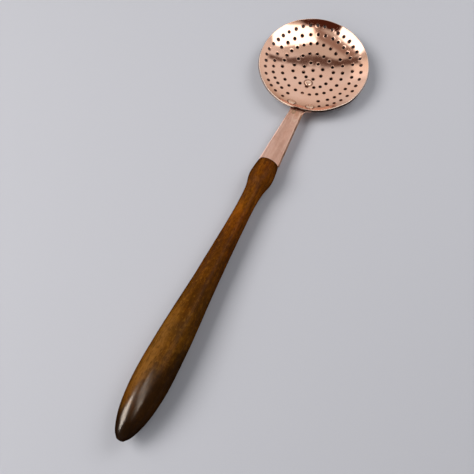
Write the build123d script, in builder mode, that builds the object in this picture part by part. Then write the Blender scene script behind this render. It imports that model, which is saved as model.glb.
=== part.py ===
from build123d import *
import math
import os

# Long-handled perforated skimmer, lying on a table.  Millimetres, +Z up.
# Origin: the middle of the flat foot, the dressed tail of the tongue rivet, that the
# bowl end stands on.  The handle runs towards -Y, and the bowl's axis is at (BOWL_X, BOWL_Y).
# Distances are counted from the bowl's axis; bearings are in degrees, counterclockwise
# from +X seen from above, so the handle's side is at about 270.

os.makedirs("parts", exist_ok=True)

# ---- bowl: shallow dish of copper sheet ---------------------------------
SHEET = 1.5              # thickness of the bowl's sheet
BOWL_R = 70.0            # outermost radius, at the cut rim
FLOOR_RADIUS = 200.0     # radius of the flattish floor's curve, inside
FLOOR_R = 25.0           # where the floor's curve gives way to the wall's
RIM_SLOPE = 31.0         # slope of the wall at the rim, degrees
RIM_ROUND = 0.4          # softened edges of the cut rim
BOWL_LIFT = 3.0          # underside of the bowl's middle above the table
HOLE_D = 4.0             # punched drain holes
BOWL_PUNCH_L = 8.0       # cutters through the sheet, centred on its inside face

# ---- strap: one flat piece, from the tang in the wood to the palm under the bowl
STRAP_T = 2.0            # thickness of strap, palm and tang
STRAP_X = 8.8            # strap and handle line, off the bowl's middle
STRAP_W_RIM = 17.4       # width just outside the rim
STRAP_W_WOOD = 26.6      # width where it butts on the wood
SHOULDER_OVERLAP = 0.05  # the shoulders stop this much short of WOOD_FRONT
PALM_GAP = 0.03          # working gap between palm and bowl
PALM_BEARING = 278.5     # bearing of the palm's middle line
PALM_HALF = 17.2         # half width over the two ears
EAR_W = 11.4             # width of each round-ended ear
EARS_AT = 60.4           # distance of the middle of the ears
PALM_REACH = 66.0        # how far out the palm follows the bowl
TONGUE_HALF = 6.2        # half width of the tongue
BEND_Y = 63.0            # where the strap leaves the bowl's curve
BEND_R = 9.0             # bend radius, middle of the thickness
BEND_DROP = 0.42         # clears the bowl across the strap's width
PALM_LAP = 5.0           # the strap starts this far inside the bend, within the palm
TANG_HALF = 6.0          # half width of the tang at the wood's end face
TANG_TIP_HALF = 4.2      # half width at its tip
TANG_TIP_CUT = 3.0       # cut-off corners of the tip
TANG_L = 76.0            # length of the tang
SLOT_CLEAR = 0.1         # gap round the tang where its slot opens
BLANK_HALF = 20.0        # half width of the strap before it is cut to its outline
TRIM_H = 40.0            # height of the outlines that trim palm and strap
STRAP_PUNCH_L = 14.0     # cutters for the rivet holes in the palm

# ---- rivets -------------------------------------------------------------
# (distance, bearing)
RIM_RIVET_LEFT = (60.7, 267.8)
RIM_RIVET_RIGHT = (61.2, 290.0)
TONGUE_RIVET = (19.8, 278.0)
RIVETS = (RIM_RIVET_LEFT, RIM_RIVET_RIGHT, TONGUE_RIVET)
RIVET_D = 4.5
RIVET_HOLE_D = 4.6
RIM_HEAD_D = 10.0
RIM_HEAD_H = 0.9
RIM_TAIL_D = 8.4
RIM_TAIL_H = 1.3
TONGUE_HEAD_D = 9.8
TONGUE_HEAD_H = 2.2
TONGUE_TAIL_D = 9.0
TONGUE_TAIL_H = 2.6      # before it is dressed flat
HEAD_LIFT = 0.13         # clears the curve of the sheet under a flat head
TAIL_GAP = 0.02          # gap between palm and tail
FLAT_HEAD_ROUND = 0.9    # width of the rounded border of a flat head
DOME_EDGE = 0.25         # height of the upright edge of a domed head
TAIL_TAPER = 1.6         # how much the tail's radius shrinks towards its end

# ---- handle: turned hardwood --------------------------------------------
WOOD_FRONT = 150.0       # distance of the wood's front face
FACE_R = 11.0            # radius of that face
BUTT_R = 20.96           # largest radius, near the butt
BUTT_MAX_AT = 431.0      # where that is
BUTT_TIP = 506.5         # distance of the butt's tip
# (distance, diameter) along the turned profile
TURNED = (
    (152.2, 25.6), (157.0, 27.2), (162.5, 28.5), (168.0, 29.4), (173.0, 29.2),
    (178.2, 27.8), (183.2, 25.2), (188.3, 23.0), (194.0, 21.8), (203.5, 20.6),
    (213.5, 20.3), (233.4, 21.3), (262.6, 23.8), (291.1, 26.5), (319.0, 29.6),
    (346.2, 33.4), (372.8, 37.2), (398.7, 40.1), (418.0, 41.5), (436.6, 41.9),
    (450.0, 40.8), (464.5, 38.0), (477.1, 33.8), (487.5, 28.4), (495.5, 22.4),
    (501.2, 16.2), (504.7, 9.8),
)
BUTT_SLOPE = -0.36       # rise over run of the profile where the rounded point begins
# Smooth spans: (first point, last point, rise over run at first, at last)
TURNED_SPANS = (
    (0, 10, 0.19, 0.0),          # neck
    (10, 15, 0.0, 0.0728),       # taper
    (15, 19, 0.0728, 0.0),       # swell
    (19, 23, 0.0, BUTT_SLOPE),   # butt
)

# ---- drain holes: (distance, bearing), ring by ring ---------------------
RING_1 = (
    (61.3, 117.9), (61.7, 109.0), (61.4, 100.5), (60.5, 90.7), (59.9, 81.6),
    (60.1, 73.1), (60.2, 63.6), (59.3, 54.6), (59.9, 46.0), (60.5, 35.3),
    (60.5, 25.9), (60.6, 16.0), (60.8, 6.0), (60.3, 356.1), (60.8, 347.3),
    (60.7, 338.2), (60.6, 328.5), (60.2, 319.6), (60.3, 310.8), (59.6, 301.0),
    (59.4, 254.1), (61.1, 243.1), (61.5, 234.7), (61.4, 226.8), (61.4, 217.0),
    (61.1, 206.7), (60.7, 198.2), (61.6, 189.6), (61.4, 181.4), (60.5, 172.2),
    (59.7, 163.4), (59.7, 155.0), (59.9, 146.0), (59.8, 136.3), (60.9, 126.9),
)
RING_2 = (
    (50.5, 118.0), (51.0, 106.7), (51.3, 95.9), (51.4, 84.2), (51.1, 74.5),
    (50.5, 62.9), (49.9, 52.2), (50.1, 42.7), (50.9, 30.4), (50.2, 19.0),
    (50.7, 9.0), (50.7, 357.9), (50.9, 347.1), (50.8, 336.0), (50.9, 325.9),
    (50.5, 315.1), (50.0, 301.6), (50.2, 255.1), (50.4, 242.4), (51.0, 233.1),
    (51.3, 223.7), (51.5, 213.7), (50.6, 203.4), (50.2, 193.2), (50.1, 180.3),
    (50.7, 167.7), (49.9, 155.1), (50.0, 142.7), (50.5, 130.6),
)
RING_3 = (
    (39.2, 118.4), (40.0, 106.2), (39.6, 93.7), (39.2, 78.3), (38.6, 63.7),
    (38.6, 48.2), (38.7, 32.9), (38.3, 16.8), (38.6, 2.6), (38.3, 346.5),
    (38.0, 331.6), (37.7, 316.3), (37.2, 301.8), (38.3, 287.7), (38.1, 273.8),
    (38.5, 259.4), (39.7, 244.2), (39.2, 229.2), (39.3, 214.5), (39.3, 199.7),
    (38.9, 184.8), (39.3, 172.5), (39.0, 159.0), (38.7, 145.5), (38.7, 131.8),
)
RING_4 = (
    (25.8, 122.4), (25.9, 100.9), (25.7, 80.0), (25.8, 58.4), (26.1, 36.1),
    (26.7, 17.7), (26.5, 356.6), (26.0, 334.7), (26.3, 315.5), (25.9, 297.4),
    (26.0, 277.0), (25.6, 255.1), (25.5, 232.4), (25.4, 207.9), (24.8, 186.0),
    (25.2, 161.0), (25.5, 143.8),
)
RING_5 = (
    (12.3, 124.5), (12.7, 80.1), (13.2, 33.3), (13.1, 347.5), (12.8, 296.8),
    (12.6, 252.7), (12.0, 216.4), (12.4, 173.1),
)
CENTRE_HOLE = (0.8, 71.4)
DRAIN_HOLES = (*RING_1, *RING_2, *RING_3, *RING_4, *RING_5, CENTRE_HOLE)


def sin_deg(angle):
    return math.sin(math.radians(angle))


def cos_deg(angle):
    return math.cos(math.radians(angle))


def tan_deg(angle):
    return math.tan(math.radians(angle))


# ---- the bowl's curve ---------------------------------------------------
# Inside of the sheet: a floor arc, then a tighter wall arc, tangent to it, that
# reaches the rim with RIM_SLOPE.
floor_slope = math.degrees(math.asin(FLOOR_R / FLOOR_RADIUS))
floor_centre_z = BOWL_LIFT + SHEET + FLOOR_RADIUS
join_z = floor_centre_z - FLOOR_RADIUS * cos_deg(floor_slope)
rim_in_r = BOWL_R - SHEET * sin_deg(RIM_SLOPE)
wall_radius = (rim_in_r - FLOOR_R) / (sin_deg(RIM_SLOPE) - sin_deg(floor_slope))
wall_centre_r = FLOOR_R - wall_radius * sin_deg(floor_slope)
wall_centre_z = join_z + wall_radius * cos_deg(floor_slope)

# layers under the inside face
palm_top = SHEET + PALM_GAP
palm_middle = palm_top + STRAP_T / 2
palm_under = palm_top + STRAP_T


def arc_at(r, out):
    """Centre (distance, height) and radius of the arc at r, `out` mm outside the inside face."""
    if r <= (FLOOR_RADIUS + out) * sin_deg(floor_slope):
        return 0, floor_centre_z, FLOOR_RADIUS + out
    return wall_centre_r, wall_centre_z, wall_radius + out


def slope_at(r, out=0.0):
    """Slope of that surface, degrees, at distance r."""
    centre_r, _, radius = arc_at(r, out)
    return math.degrees(math.asin((r - centre_r) / radius))


def height_at(r, out=0.0):
    """Height of that surface above the table at distance r."""
    _, centre_z, radius = arc_at(r, out)
    return centre_z - radius * cos_deg(slope_at(r, out))


# the tongue rivet's axis meets the table at the origin, which places the bowl's axis
tongue_r, tongue_bearing = TONGUE_RIVET
foot_r = tongue_r + height_at(tongue_r) * tan_deg(slope_at(tongue_r))
BOWL_X = -foot_r * cos_deg(tongue_bearing)
BOWL_Y = -foot_r * sin_deg(tongue_bearing)
bowl_side = Plane(origin=(BOWL_X, BOWL_Y, 0), x_dir=(1, 0, 0), z_dir=(0, -1, 0))
bowl_plan = Plane(origin=(BOWL_X, BOWL_Y, 0), x_dir=(1, 0, 0), z_dir=(0, 0, 1))
bowl_axis = Axis((BOWL_X, BOWL_Y, 0), (0, 0, 1))

# ---- the handle's line --------------------------------------------------
# The handle's axis and the middle of the strap's thickness share one line. It
# rises slightly from the bend to where the butt rests on the table.
bend_distance = math.hypot(STRAP_X, BEND_Y)
bend_slope = slope_at(bend_distance, palm_middle)
bend_z = height_at(bend_distance, palm_middle) - BEND_DROP
straight_y = BEND_Y + BEND_R * sin_deg(bend_slope)
straight_z = bend_z + BEND_R * (1 - cos_deg(bend_slope))
rise_slope = (BUTT_R - straight_z) / (BUTT_MAX_AT - straight_y)
rise = math.degrees(math.atan(rise_slope))
wood_front_z = straight_z + (WOOD_FRONT - straight_y) * rise_slope


def normal_plane(r, bearing):
    """A plane on the inside face at (r, bearing), its Z away from the sheet into the bowl."""
    slope = slope_at(r)
    out_x, out_y = cos_deg(bearing), sin_deg(bearing)
    return Plane(
        origin=(BOWL_X + r * out_x, BOWL_Y + r * out_y, height_at(r)),
        x_dir=(-out_y, out_x, 0),
        z_dir=(-sin_deg(slope) * out_x, -sin_deg(slope) * out_y, cos_deg(slope)),
    )


def normal_planes(stations):
    return [normal_plane(r, bearing) for r, bearing in stations]


def both_sides(edge):
    """Closed outline from one edge of (distance along, half width) points."""
    return [(along, -half) for along, half in edge] + list(reversed(edge))


def shell_lines(inner, outer, wall_end):
    """The closed outline between two surfaces `inner` and `outer` mm outside the inside face."""
    floor = (0, floor_centre_z)
    wall = (wall_centre_r, wall_centre_z)
    wall_start = -90 + floor_slope
    wall_sweep = wall_end - floor_slope
    floor_in = CenterArc(floor, FLOOR_RADIUS + inner, -90, floor_slope)
    wall_in = CenterArc(wall, wall_radius + inner, wall_start, wall_sweep)
    floor_out = CenterArc(floor, FLOOR_RADIUS + outer, -90, floor_slope)
    wall_out = CenterArc(wall, wall_radius + outer, wall_start, wall_sweep)
    Line(wall_in @ 1, wall_out @ 1)
    Line(floor_in @ 0, floor_out @ 0)


def make_bowl():
    with BuildPart() as bowl:
        with BuildSketch(bowl_side) as section:
            with BuildLine():
                shell_lines(0, SHEET, RIM_SLOPE)
            make_face()
            fillet(section.vertices().sort_by(Axis.X)[-2:], RIM_ROUND)
        revolve(axis=bowl_axis)
        with Locations(*normal_planes(DRAIN_HOLES)):
            Cylinder(HOLE_D / 2, BOWL_PUNCH_L, mode=Mode.SUBTRACT)
        with Locations(*normal_planes(RIVETS)):
            Cylinder(RIVET_HOLE_D / 2, BOWL_PUNCH_L, mode=Mode.SUBTRACT)
    return bowl.part


def make_palm():
    """The curved end of the strap under the bowl: two ears and a tongue."""
    middle_line = Plane(
        origin=(BOWL_X, BOWL_Y, 0),
        x_dir=(cos_deg(PALM_BEARING), sin_deg(PALM_BEARING), 0),
        z_dir=(0, 0, 1),
    )
    # (distance, half width) from the strap inwards to the tongue's end
    edge = (
        (72, 8.8), (68.5, 10.2), (65.5, 14.0), (60.0, 15.0), (54.0, 11.5),
        (45.0, TONGUE_HALF + 1.0), (tongue_r, TONGUE_HALF),
    )
    with BuildPart() as palm:
        with BuildSketch(bowl_side):
            with BuildLine():
                shell_lines(palm_top, palm_under, slope_at(PALM_REACH, palm_top))
            make_face()
        revolve(axis=bowl_axis)
        with BuildSketch(middle_line):
            with Locations(Location((EARS_AT, 0), 90)):
                SlotOverall(2 * PALM_HALF, EAR_W)
            with BuildLine():
                Polyline(*both_sides(edge), close=True)
            make_face()
            with Locations((tongue_r, 0)):
                Circle(TONGUE_HALF)
        extrude(amount=TRIM_H, mode=Mode.INTERSECT)
    return palm.part


def make_strap_and_tang():
    side = Plane(origin=(BOWL_X + STRAP_X, BOWL_Y, 0), x_dir=(0, -1, 0), z_dir=(-1, 0, 0))
    tang_end = WOOD_FRONT + TANG_L
    shoulder = WOOD_FRONT - SHOULDER_OVERLAP
    # (distance, half width) from the palm to the tang's tip
    edge = (
        (50, 6.0), (62.5, 6.5), (66.5, 9.0), (72, STRAP_W_RIM / 2),
        (shoulder, STRAP_W_WOOD / 2), (shoulder, TANG_HALF),
        (tang_end - TANG_TIP_CUT, TANG_TIP_HALF),
        (tang_end, TANG_TIP_HALF - TANG_TIP_CUT),
    )
    with BuildPart() as strap:
        with BuildSketch(side):
            with BuildLine():
                lap = Line(
                    (BEND_Y - PALM_LAP, bend_z - PALM_LAP * tan_deg(bend_slope)),
                    (BEND_Y, bend_z),
                )
                bend = JernArc(lap @ 1, lap % 1, BEND_R, -(bend_slope - rise))
                straight_length = (tang_end - (bend @ 1).X) / cos_deg(rise)
                Line(bend @ 1, bend @ 1 + (bend % 1) * straight_length)
            trace(line_width=STRAP_T)
        extrude(amount=BLANK_HALF, both=True)
        with BuildSketch(bowl_plan):
            with BuildLine():
                Polyline(
                    *[(STRAP_X + half, -along) for along, half in both_sides(edge)],
                    close=True,
                )
            make_face()
        extrude(amount=TRIM_H, mode=Mode.INTERSECT)
    return strap.part


def make_handle_strap():
    palm = make_palm()
    strap_and_tang = make_strap_and_tang()
    with BuildPart() as handle_strap:
        add(palm)
        add(strap_and_tang)
        with Locations(*normal_planes(RIVETS)):
            Cylinder(RIVET_HOLE_D / 2, STRAP_PUNCH_L, mode=Mode.SUBTRACT)
    return handle_strap.part


def make_rivet_blank(head_r, head_h, domed, tail_r, tail_h):
    """A rivet about Z, head up, with the bowl's inside face at Z = 0."""
    shank_r = RIVET_D / 2
    head_top = HEAD_LIFT + head_h
    tail_top = -palm_under - TAIL_GAP
    tail_end = -palm_under - tail_h
    with BuildPart() as blank:
        with BuildSketch(Plane.XZ):
            with BuildLine():
                if domed:
                    ThreePointArc(
                        (0, head_top),
                        (head_r * 0.62, HEAD_LIFT + head_h * 0.70),
                        (head_r, HEAD_LIFT + DOME_EDGE),
                    )
                    Line((head_r, HEAD_LIFT + DOME_EDGE), (head_r, HEAD_LIFT))
                else:
                    Line((0, head_top), (head_r - FLAT_HEAD_ROUND, head_top))
                    ThreePointArc(
                        (head_r - FLAT_HEAD_ROUND, head_top),
                        (head_r - 0.25, HEAD_LIFT + head_h * 0.72),
                        (head_r, HEAD_LIFT),
                    )
                Line((head_r, HEAD_LIFT), (shank_r, HEAD_LIFT))
                Line((shank_r, HEAD_LIFT), (shank_r, tail_top))
                Line((shank_r, tail_top), (tail_r, tail_top))
                ThreePointArc(
                    (tail_r, tail_top),
                    (tail_r - 0.5, -palm_under - tail_h * 0.6),
                    (tail_r - TAIL_TAPER, tail_end),
                )
                Line((tail_r - TAIL_TAPER, tail_end), (0, tail_end))
                Line((0, tail_end), (0, head_top))
            make_face()
        revolve(axis=Axis.Z)
    return blank.part


def make_rim_rivet(station):
    blank = make_rivet_blank(RIM_HEAD_D / 2, RIM_HEAD_H, False, RIM_TAIL_D / 2, RIM_TAIL_H)
    with BuildPart() as rivet:
        add(blank.moved(normal_plane(*station).location))
    return rivet.part


def make_tongue_rivet():
    """Its tail is dressed flat, level with the table: the skimmer stands on it."""
    blank = make_rivet_blank(
        TONGUE_HEAD_D / 2, TONGUE_HEAD_H, True, TONGUE_TAIL_D / 2, TONGUE_TAIL_H)
    with BuildPart() as rivet:
        add(blank.moved(normal_plane(*TONGUE_RIVET).location))
        split(bisect_by=Plane.XY, keep=Keep.TOP)
    return rivet.part


def make_wood_handle():
    """Sketched from the front face: local X runs along the handle's axis to the butt."""
    axis_plane = Plane(
        origin=(BOWL_X + STRAP_X, BOWL_Y - WOOD_FRONT, wood_front_z),
        x_dir=(0, -cos_deg(rise), sin_deg(rise)),
        z_dir=(-1, 0, 0),
    )
    slot_plane = Plane(
        origin=axis_plane.origin, x_dir=axis_plane.x_dir, z_dir=axis_plane.y_dir)
    turned = [((y - WOOD_FRONT) / cos_deg(rise), diameter / 2) for y, diameter in TURNED]
    tip = ((BUTT_TIP - WOOD_FRONT) / cos_deg(rise), 0)
    point_start = TURNED_SPANS[-1][1]
    # (distance from the front face, half width) along the tang's slot
    slot_edge = (
        (-1, TANG_HALF + SLOT_CLEAR), (0, TANG_HALF + SLOT_CLEAR),
        (TANG_L - 2, TANG_TIP_HALF + SLOT_CLEAR + 0.1),
        (TANG_L + 1, TANG_TIP_HALF - 0.6),
    )
    with BuildPart() as handle:
        with BuildSketch(axis_plane):
            with BuildLine():
                Line((0, 0), (0, FACE_R))
                ThreePointArc((0, FACE_R), (0.65, 12.2), turned[0])
                for first, last, slope_in, slope_out in TURNED_SPANS:
                    Spline(
                        *turned[first:last + 1],
                        tangents=[(1.0, slope_in), (1.0, slope_out)],
                    )
                Spline(
                    *turned[point_start:], tip,
                    tangents=[(1.0, BUTT_SLOPE), (0.0, -1.0)],
                )
                Line(tip, (0, 0))
            make_face()
        revolve(axis=Axis(axis_plane.origin, axis_plane.x_dir))
        with BuildSketch(slot_plane):
            with BuildLine():
                Polyline(*both_sides(slot_edge), close=True)
            make_face()
        extrude(amount=STRAP_T / 2 + SLOT_CLEAR, both=True, mode=Mode.SUBTRACT)
    return handle.part


pieces = {
    "skimmer_bowl": make_bowl(),
    "handle_strap": make_handle_strap(),
    "rim_rivet_left": make_rim_rivet(RIM_RIVET_LEFT),
    "rim_rivet_right": make_rim_rivet(RIM_RIVET_RIGHT),
    "tongue_rivet": make_tongue_rivet(),
    "wood_handle": make_wood_handle(),
}
for name, piece in pieces.items():
    piece.label = name
    export_step(piece, f"parts/{name}.step")
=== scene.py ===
"""A copper skimmer: a hammered, perforated bowl, a riveted copper strap and a turned wooden handle.

Z is up and the table is z = 0. The handle runs from the bowl towards -Y and rises a little.
Shapes are worked out in millimetres about the bowl's upright axis; to_world() places them.
Bearings are in degrees, counterclockwise from +X as seen from above.
"""

import math

import bmesh
import bpy
import numpy as np
from mathutils import Matrix, Vector
from mathutils.geometry import delaunay_2d_cdt


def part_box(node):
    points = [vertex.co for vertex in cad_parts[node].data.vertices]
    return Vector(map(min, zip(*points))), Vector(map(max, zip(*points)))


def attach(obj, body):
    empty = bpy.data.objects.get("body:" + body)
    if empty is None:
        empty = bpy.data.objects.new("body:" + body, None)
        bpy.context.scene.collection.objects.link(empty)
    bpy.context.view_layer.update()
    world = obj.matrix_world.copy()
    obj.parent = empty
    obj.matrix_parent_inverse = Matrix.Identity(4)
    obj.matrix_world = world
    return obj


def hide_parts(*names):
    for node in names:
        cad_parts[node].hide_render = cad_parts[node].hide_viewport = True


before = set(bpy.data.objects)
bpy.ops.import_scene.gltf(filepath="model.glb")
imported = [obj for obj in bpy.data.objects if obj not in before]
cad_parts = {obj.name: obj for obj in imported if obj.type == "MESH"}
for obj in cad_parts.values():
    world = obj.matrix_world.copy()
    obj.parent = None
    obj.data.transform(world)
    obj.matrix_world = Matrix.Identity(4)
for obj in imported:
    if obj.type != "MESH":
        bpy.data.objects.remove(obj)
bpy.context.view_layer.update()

MM = 0.001

# ------------------------------------------------------------------ driving dimensions, mm
bowl_low, bowl_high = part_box("skimmer_bowl")
AXIS_X = (bowl_low.x + bowl_high.x) / 2 / MM
AXIS_Y = (bowl_low.y + bowl_high.y) / 2 / MM
wood_low, wood_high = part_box("wood_handle")
HANDLE_X = (wood_low.x + wood_high.x) / 2 / MM - AXIS_X     # handle line, from the bowl's axis
WOOD_FRONT = AXIS_Y - wood_high.y / MM                      # distances from the bowl's axis
WOOD_TIP = AXIS_Y - wood_low.y / MM

# The bowl's inside face is two arcs turned about its axis: a flat floor and a steeper wall.
SHEET = 1.5
BOWL_R = 70.0
FLOOR_ARC = 200.0
FLOOR_R = 25.0
RIM_SLOPE = math.radians(31.0)
RIM_SIN, RIM_COS = math.sin(RIM_SLOPE), math.cos(RIM_SLOPE)
UPSET = 1.6                  # the hammered edge is thicker than the sheet by this much
RIM_ROUND = 0.50             # rounding of the rim's arrises
FLOOR_SLOPE = math.asin(FLOOR_R / FLOOR_ARC)
FLOOR_CENTRE_Z = bowl_low.z / MM + SHEET + FLOOR_ARC
RIM_IN = BOWL_R - SHEET * RIM_SIN
WALL_ARC = (RIM_IN - FLOOR_R) / (RIM_SIN - math.sin(FLOOR_SLOPE))
WALL_CENTRE_R = FLOOR_R - WALL_ARC * math.sin(FLOOR_SLOPE)
WALL_CENTRE_Z = (FLOOR_CENTRE_Z - FLOOR_ARC * math.cos(FLOOR_SLOPE)
                 + WALL_ARC * math.cos(FLOOR_SLOPE))

# object name, distance from the axis, bearing, head radius, domed head
RIVETS = (
    ("rivet_head_left", 60.7, 267.8, 5.0, False),
    ("rivet_head_right", 61.2, 290.0, 5.0, False),
    ("rivet_tongue", 19.8, 278.0, 4.9, True),
)
HOLE_R = 2.0
RIVET_HOLE_R = 2.3
# distance from the axis and bearing of each hole, ring by ring inwards
HOLES = [
    (61.3, 117.9), (61.7, 109.0), (61.4, 100.5), (60.5, 90.7), (59.9, 81.6), (60.1, 73.1),
    (60.2, 63.6), (59.3, 54.6), (59.9, 46.0), (60.5, 35.3), (60.5, 25.9), (60.6, 16.0),
    (60.8, 6.0), (60.3, 356.1), (60.8, 347.3), (60.7, 338.2), (60.6, 328.5), (60.2, 319.6),
    (60.3, 310.8), (59.6, 301.0), (59.4, 254.1), (61.1, 243.1), (61.5, 234.7), (61.4, 226.8),
    (61.4, 217.0), (61.1, 206.7), (60.7, 198.2), (61.6, 189.6), (61.4, 181.4), (60.5, 172.2),
    (59.7, 163.4), (59.7, 155.0), (59.9, 146.0), (59.8, 136.3), (60.9, 126.9),
    (50.5, 118.0), (51.0, 106.7), (51.3, 95.9), (51.4, 84.2), (51.1, 74.5), (50.5, 62.9),
    (49.9, 52.2), (50.1, 42.7), (50.9, 30.4), (50.2, 19.0), (50.7, 9.0), (50.7, 357.9),
    (50.9, 347.1), (50.8, 336.0), (50.9, 325.9), (50.5, 315.1), (50.0, 301.6), (50.2, 255.1),
    (50.4, 242.4), (51.0, 233.1), (51.3, 223.7), (51.5, 213.7), (50.6, 203.4), (50.2, 193.2),
    (50.1, 180.3), (50.7, 167.7), (49.9, 155.1), (50.0, 142.7), (50.5, 130.6),
    (39.2, 118.4), (40.0, 106.2), (39.6, 93.7), (39.2, 78.3), (38.6, 63.7), (38.6, 48.2),
    (38.7, 32.9), (38.3, 16.8), (38.6, 2.6), (38.3, 346.5), (38.0, 331.6), (37.7, 316.3),
    (37.2, 301.8), (38.3, 287.7), (38.1, 273.8), (38.5, 259.4), (39.7, 244.2), (39.2, 229.2),
    (39.3, 214.5), (39.3, 199.7), (38.9, 184.8), (39.3, 172.5), (39.0, 159.0), (38.7, 145.5),
    (38.7, 131.8),
    (25.8, 122.4), (25.9, 100.9), (25.7, 80.0), (25.8, 58.4), (26.1, 36.1), (26.7, 17.7),
    (26.5, 356.6), (26.0, 334.7), (26.3, 315.5), (25.9, 297.4), (26.0, 277.0), (25.6, 255.1),
    (25.5, 232.4), (25.4, 207.9), (24.8, 186.0), (25.2, 161.0), (25.5, 143.8),
    (12.3, 124.5), (12.7, 80.1), (13.2, 33.3), (13.1, 347.5), (12.8, 296.8), (12.6, 252.7),
    (12.0, 216.4), (12.4, 173.1),
    (0.8, 71.4),
]


# ------------------------------------------------------------------ the sheet's surface
def slope_at(radius, out=0.0):
    """Slope of the bowl at a radius, on the surface lying `out` below the inside face."""
    radius = np.asarray(radius, float)
    floor = np.arcsin(np.clip(radius / (FLOOR_ARC + out), -1, 1))
    wall = np.arcsin(np.clip((radius - WALL_CENTRE_R) / (WALL_ARC + out), -1, 0.95))
    return np.where(radius <= (FLOOR_ARC + out) * math.sin(FLOOR_SLOPE), floor, wall)


def height_at(radius, out=0.0):
    radius = np.asarray(radius, float)
    cosine = np.cos(slope_at(radius, out))
    return np.where(
        radius <= (FLOOR_ARC + out) * math.sin(FLOOR_SLOPE),
        FLOOR_CENTRE_Z - (FLOOR_ARC + out) * cosine,
        WALL_CENTRE_Z - (WALL_ARC + out) * cosine,
    )


def smooth(start, end, value):
    part = np.clip((np.asarray(value, float) - start) / (end - start), 0, 1)
    return part * part * (3 - 2 * part)


def unit(vectors):
    return vectors / np.linalg.norm(vectors, axis=-1, keepdims=True)


def make_waves():
    """Unevenness of the beaten dish: wave numbers in x and y, phase and height of each wave."""
    rng = np.random.RandomState(7)
    waves = []
    # wavelength, height and number of waves, from broad ones to fine planishing marks
    for length, height, count in ((95, 0.16, 4), (52, 0.085, 6), (27, 0.022, 9), (14, 0.0045, 12)):
        for _ in range(count):
            heading = rng.uniform(0, 2 * math.pi)
            number = 2 * math.pi / (length * rng.uniform(0.8, 1.25))
            phase = rng.uniform(0, 2 * math.pi)
            waves.append((number * math.cos(heading), number * math.sin(heading), phase,
                          height * rng.uniform(0.5, 1.0) / math.sqrt(count) * 1.4))
    return waves


WAVES = make_waves()


def dents(x, y):
    total = np.zeros_like(np.asarray(x, float))
    for number_x, number_y, phase, height in WAVES:
        total = total + height * np.sin(number_x * x + number_y * y + phase)
    return total


# Every punching, the rivets' holes last: middle, plan directions out and round, slope and radius.
PUNCH_XY = np.array([
    (distance * math.cos(math.radians(bearing)), distance * math.sin(math.radians(bearing)))
    for distance, bearing in HOLES + [rivet[1:3] for rivet in RIVETS]])
punch_distance = np.hypot(PUNCH_XY[:, 0], PUNCH_XY[:, 1])
PUNCH_SLOPE = slope_at(punch_distance)
OUTWARD = PUNCH_XY / np.maximum(punch_distance, 1e-9)[:, None]
AROUND = np.stack([-OUTWARD[:, 1], OUTWARD[:, 0]], 1)
# each punched hole differs a little in size and in its sunken lip
punch_rng = np.random.RandomState(3)
hole_size = 1 + 0.035 * punch_rng.randn(len(PUNCH_XY))
hole_size[-len(RIVETS):] = 1
HOLE_LIP = 0.13 * (1 + 0.35 * punch_rng.randn(len(PUNCH_XY))).clip(0.3, 1.8)
HOLE_LIP[-len(RIVETS):] = 0
PUNCH_R = np.array([HOLE_R] * len(HOLES) + [RIVET_HOLE_R] * len(RIVETS)) * hole_size


def over_sheet(i, x, y):
    """Distances over the sheet from the middle of punching i, outwards and round the bowl."""
    dx, dy = x - PUNCH_XY[i, 0], y - PUNCH_XY[i, 1]
    return ((dx * OUTWARD[i, 0] + dy * OUTWARD[i, 1]) / math.cos(PUNCH_SLOPE[i]),
            dx * AROUND[i, 0] + dy * AROUND[i, 1])


def hole_distance(x, y):
    """Distance over the sheet from each point to the nearest hole's edge, and which hole."""
    best = np.full(np.shape(x), 1e9)
    nearest = np.zeros(np.shape(x), int)
    for i in range(len(PUNCH_XY)):
        distance = np.hypot(*over_sheet(i, x, y)) - PUNCH_R[i]
        closer = distance < best
        best = np.where(closer, distance, best)
        nearest = np.where(closer, i, nearest)
    return best, nearest


def rim_warp(x, y):
    """The rim was cut by hand: not quite round, and drawn in a little over the strap."""
    radius = np.hypot(x, y)
    angle = np.arctan2(y, x)
    off = np.degrees((angle - math.radians(278.0) + math.pi) % (2 * math.pi) - math.pi)
    edge = (-0.9 * np.exp(-(off / 10.0) ** 2) + 0.18 * np.sin(3 * angle + 0.6)
            + 0.12 * np.sin(5 * angle + 2.1) + 0.07 * np.sin(11 * angle + 0.4)
            + 0.04 * np.sin(23 * angle) - 0.25)
    pull = edge * smooth(60, 69, radius) / np.maximum(radius, 1e-6)
    wide = -0.8 * np.exp(-((off + 2) / 21.0) ** 2) + 0.8 * np.exp(-((off - 56) / 12.0) ** 2)
    pull = pull + wide * smooth(63.5, 69.6, radius) / np.maximum(radius, 1e-6)
    return x + x * pull, y + y * pull


def upset_at(x, y):
    """How much the edge is thickened: less over the strap, where it was not hammered."""
    off = (np.degrees(np.arctan2(y, x)) - 276.0 + 180.0) % 360.0 - 180.0
    return UPSET * (1 - 0.85 * np.exp(-(off / 20.0) ** 2))


def sheet_normal(x, y):
    """Normal of the even bowl, pointing up and in."""
    radius = np.maximum(np.hypot(x, y), 1e-9)
    slope = slope_at(radius)
    return np.stack([-np.sin(slope) * x / radius, -np.sin(slope) * y / radius, np.cos(slope)], -1)


def inside_face(x, y):
    """Points on the bowl's inside face over plan points (x, y), with its unevenness."""
    distance, hole = hole_distance(x, y)
    push = dents(x, y) - HOLE_LIP[hole] * np.exp(-np.maximum(distance, 0) / 0.42)
    height = height_at(np.maximum(np.hypot(x, y), 1e-9))
    return np.stack([*rim_warp(x, y), height], -1) + sheet_normal(x, y) * push[..., None]


def face_normals(x, y):
    step = 0.04
    along_x = inside_face(x + step, y) - inside_face(x - step, y)
    along_y = inside_face(x, y + step) - inside_face(x, y - step)
    return unit(np.cross(along_x, along_y))


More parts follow.
